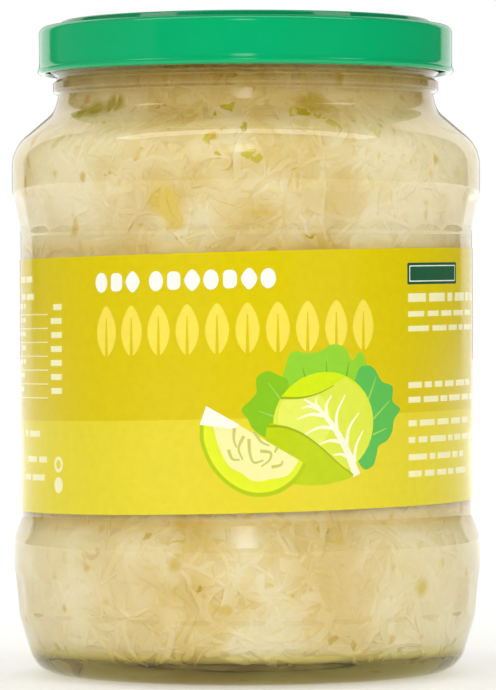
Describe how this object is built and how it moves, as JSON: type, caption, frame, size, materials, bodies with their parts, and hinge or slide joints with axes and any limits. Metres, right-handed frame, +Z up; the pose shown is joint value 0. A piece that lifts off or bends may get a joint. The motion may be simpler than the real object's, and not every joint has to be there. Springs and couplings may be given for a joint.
{
  "type": "jar of sauerkraut",
  "caption": "Clear glass jar of packed shredded sauerkraut with a green twist-off metal lid and a yellow wrap-around paper label.",
  "frame": {"origin": "middle of the ring that the jar stands on, at table height", "axes": "+Z up along the jar's axis, the front of the label faces -Y, +X to its right"},
  "size_m": [0.0952, 0.0952, 0.1326],
  "materials": {
    "glass": "clear flint glass, polished",
    "lacquered_tinplate": "glossy green lacquer",
    "label_paper": "semi-gloss printed paper",
    "cabbage": "wet shredded cabbage, pale cream"
  },
  "bodies": {
    "root": {"jar": "glass", "lid": "lacquered_tinplate", "label": "label_paper", "sauerkraut": "cabbage"}
  },
  "joints": []
}
